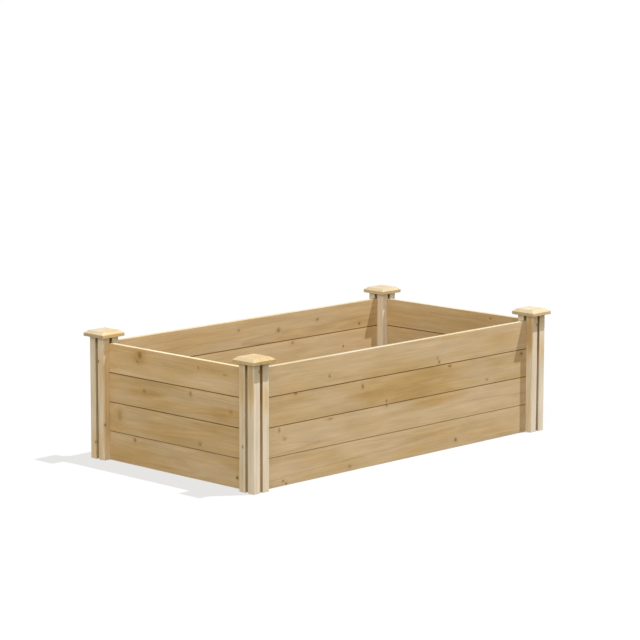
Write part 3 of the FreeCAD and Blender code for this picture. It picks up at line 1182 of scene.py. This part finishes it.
# %% Finish the planks
PLANK_LOOKS = {
    "plank_front_1": Look(0.945, 0.7, 0.28, -70, 10, 3.2, 1),
    "plank_front_2": Look(0.945, 0.5, 0.25, 60, -20, 2.6, 2),
    "plank_front_3": Look(0.93, 0.8, 0.20, 85, 25, 3.0, 3),
    "plank_front_4": Look(0.955, 0.6, 0.22, -60, 15, 2.8, 4),
    "plank_left_1": Look(1.02, 0.8, 0.25, 80, -10, 2.9, 5),
    "plank_left_2": Look(1.04, 0.8, 0.25, -75, 20, 3.4, 6),
    "plank_left_3": Look(1.05, 0.9, 0.40, 55, 5, 3.0, 7),
    "plank_left_4": Look(1.13, 0.8, 0.25, 90, -30, 2.7, 8),
}
PLANK_STAINS = {  # along, up, wide, high and amount, which is below 0 where the wood is paler
    "plank_front_1": [(-520, 0, 400, 80, -0.4), (120, -25, 500, 50, 0.4), (420, -10, 300, 60, 0.5)],
    "plank_front_2": [(150, 30, 300, 60, 0.8), (-150, 0, 320, 60, 0.35), (-380, -10, 360, 60, -0.4),
                      (420, 0, 320, 80, -0.5)],
    "plank_front_3": [(60, 0, 620, 150, 0.85), (-450, 0, 280, 80, 0.3)],
    "plank_front_4": [(-100, -30, 500, 40, 0.4), (120, 10, 340, 80, -0.5), (440, 0, 260, 70, 0.4)],
    "plank_left_1": [(180, -10, 220, 60, -0.5), (-190, 0, 240, 70, 0.45)],
    "plank_left_2": [(150, 30, 200, 40, 0.5), (0, 0, 260, 120, 0.45), (-210, 0, 180, 80, -0.35)],
    "plank_left_3": [(-130, 5, 230, 30, 0.8), (190, -8, 240, 40, 0.8), (20, -30, 200, 30, -0.5)],
    "plank_left_4": [(-160, 20, 90, 50, 0.9), (200, 15, 240, 40, 0.15), (150, -20, 300, 50, -0.5)],
}
SEAM_STRENGTHS = (0, 0.6, 0.95, 1.0, 0)  # the painted shade under each tier, from the lowest, and over the last

for side, turn in SIDE_TURNS.items():
    for tier in range(1, TIERS + 1):
        node = f"plank_{side}_{tier}"
        if node not in PLANK_LOOKS:
            PLANK_LOOKS[node] = Look(
                chance.uniform(0.92, 1.02), chance.uniform(0.4, 0.8), chance.uniform(0.2, 0.35),
                chance.choice((-1, 1)) * chance.uniform(50, 90), chance.uniform(-30, 30),
                chance.uniform(2.5, 3.4), chance.uniform(10, 90)
            )
        seams = {"Lower": SEAM_STRENGTHS[tier - 1], "Upper": SEAM_STRENGTHS[tier]}
        wood_material(
            planks[node], "plank", PLANK_LOOKS[node], (0, 0, math.radians(turn)),
            PLANK_KNOTS[node], [StainAndShade(*numbers) for numbers in PLANK_STAINS.get(node, ())], seams
        )
print(len(PLANK_LOOKS), "planks finished")

# %% [markdown]
# The grain of a post runs upwards, so its board axes are turned: along is up, out is towards +Y, and up is
# towards -X. A mark on one of its outer faces is easier to give by the face, the height above the ground
# and the distance from the middle of the face, so a helper turns those into the board's axes.

# %% Finish the posts, caps and dowels
UPRIGHT_GRAIN = (0, -math.pi / 2, 0)
MARK_DEPTH = 16


def on_post(kind, face, height, across, tall, broad, strength, below=0):
    """A knot, or a patch of wood colour or of painted shade, on a post's front or left face, or below it,
    down in the slot. Across goes right on the front, and back on the left."""
    along = height - POST_HEIGHT / 2 / MM
    surface = POST_WIDTH / 2 / MM - below
    if face == "front":
        return kind(along, -across, tall, broad, strength, -surface, MARK_DEPTH)
    return kind(along, surface, tall, MARK_DEPTH, strength, across, broad)


def marks_on_post(kind, table):
    return [on_post(kind, face, *numbers) for face, marks in table.items() for numbers in marks]


# For each face: height, across, tall, broad, strength and, where it isn't 0, how far below the face
POST_KNOTS = {
    "front_left": {"left": [(132, 15, 9, 6, 0.6)], "front": [(352, -8, 9, 6, 0.6)]},
    "back_left": {"left": [(300, -8, 8, 7, 0.7), (52, 9, 8, 6, 0.6)], "front": [(109, -26, 9, 7, 0.6)]},
    "front_right": {"front": [(343, -9, 9, 6, 0.6)]},
}
# The marks at 330 mm and more darken and warm the tops of the posts' faces, right under the caps: partly the
# wood's own colour and partly painted shade. The strongest two, 9 mm below the front faces, are painted
# shadow down in the slots.
POST_STAINS_AND_SHADE = {
    "front_left": {
        "left": [(60, 18, 200, 30, 0.5), (180, 18, 120, 30, 0.5), (300, 18, 190, 30, 1.3),
                 (330, -18, 210, 30, 1.7)],
        "front": [(270, 18, 120, 30, 0.9), (350, 0, 60, 70, 0.6), (335, 0, 300, 20, 4.0, 9)],
    },
    "back_left": {
        "left": [(40, 0, 250, 70, 0.95), (220, 0, 250, 70, 0.4), (300, -18, 300, 30, 0.4)],
        "front": [(186, -18, 700, 40, 1.5)],
    },
    "front_right": {
        "left": [(330, -18, 200, 40, 2.4), (60, -18, 160, 40, 0.3)],
        "front": [(260, 18, 140, 30, 0.9), (355, 0, 70, 70, 0.9), (335, 0, 320, 20, 4.5, 9)],
    },
}
POST_TONES = {"front_left": 1.0, "front_right": 0.97, "back_right": 1.0, "back_left": 1.02}
CAP_LOOKS = {
    "front_left": Look(1.07, 1.1, 0.4, 30, 60, 2.4, 110),
    "front_right": Look(1.06, 0.2, 0.4, 10, 60, 2.4, 111),
    "back_right": Look(1.0, 0.6, 0.4, -10, 60, 2.4, 112),
    "back_left": Look(1.03, 0.6, 0.4, -30, 60, 2.4, 113),
}
# Painted light and shade on the caps: their left sides are made paler, where the fill lamp leaves them dim,
# and their front sides and the middle of the front left top more golden and darker, where the sun is bright
CAP_LIGHT_AND_SHADE = {  # which side gets painted light or shade, by its direction, or (0, 0) for the middle, and how strongly
    "front_left": {(0, 0): 0.9, (-1, 0): -1.0},
    "front_right": {(0, -1): 0.25},
    "back_left": {(-1, 0): -0.8, (0, -1): 0.9},
}
CAP_LIGHT_AND_SHADE_SIZE = 120


def light_and_shade_on_cap(corner, side, amount):
    """A round patch in the middle of a cap, or just beyond one side, so that it fades inwards. A positive
    amount paints shade, darker and more golden, and a negative one paints light, paler.
    """
    to_board = Matrix.Rotation(-math.radians(CORNER_TURNS[corner] + 90), 2)
    along, out = to_board @ Vector(side) * (CAP_LIGHT_AND_SHADE_SIZE / 2)
    return StainAndShade(along, 0, CAP_LIGHT_AND_SHADE_SIZE, CAP_LIGHT_AND_SHADE_SIZE, amount, out, CAP_LIGHT_AND_SHADE_SIZE)


for number, (corner, turn) in enumerate(CORNER_TURNS.items()):
    post_look = Look(POST_TONES[corner], 0.35, 0.3, 25 + 12 * number, 20 - 15 * number, 2.2, 100 + number)
    wood_material(
        posts[corner], "post", post_look, UPRIGHT_GRAIN,
        marks_on_post(Knot, POST_KNOTS.get(corner, {})), marks_on_post(StainAndShade, POST_STAINS_AND_SHADE.get(corner, {}))
    )
    cap_light_and_shade = [light_and_shade_on_cap(corner, side, amount) for side, amount in CAP_LIGHT_AND_SHADE.get(corner, {}).items()]
    wood_material(caps[corner], "cap", CAP_LOOKS[corner], (0, 0, math.radians(turn + 90)), stains_and_shade=cap_light_and_shade)
    wood_material(dowels[corner], "dowel", Look(1.0, 0.5, 0.3, 40, 20, 1.8, 120 + number), UPRIGHT_GRAIN)
print("corner pieces finished")

# %% [markdown]
# ## What each piece stands for
#
# Every new piece rides on the body that carries it, so it moves with that body, and takes the place of one
# imported piece. The three lower planks of a side are trapped, so they belong to the bed. The top planks
# and the caps lift off.

# %% Ride on the bodies and replace the imported pieces
def stand_for(piece, node, body):
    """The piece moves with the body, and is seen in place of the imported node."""
    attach(piece, body)
    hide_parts(node)


for node, plank in planks.items():
    _, side, tier = node.split("_")
    stand_for(plank, node, f"top_plank_{side}" if int(tier) == TIERS else "bed")
for corner in CORNER_TURNS:
    stand_for(posts[corner], f"post_{corner}", "bed")
    stand_for(caps[corner], f"cap_{corner}", f"cap_{corner}")
    stand_for(dowels[corner], f"dowel_{corner}", f"cap_{corner}")
print("every piece rides on its body")
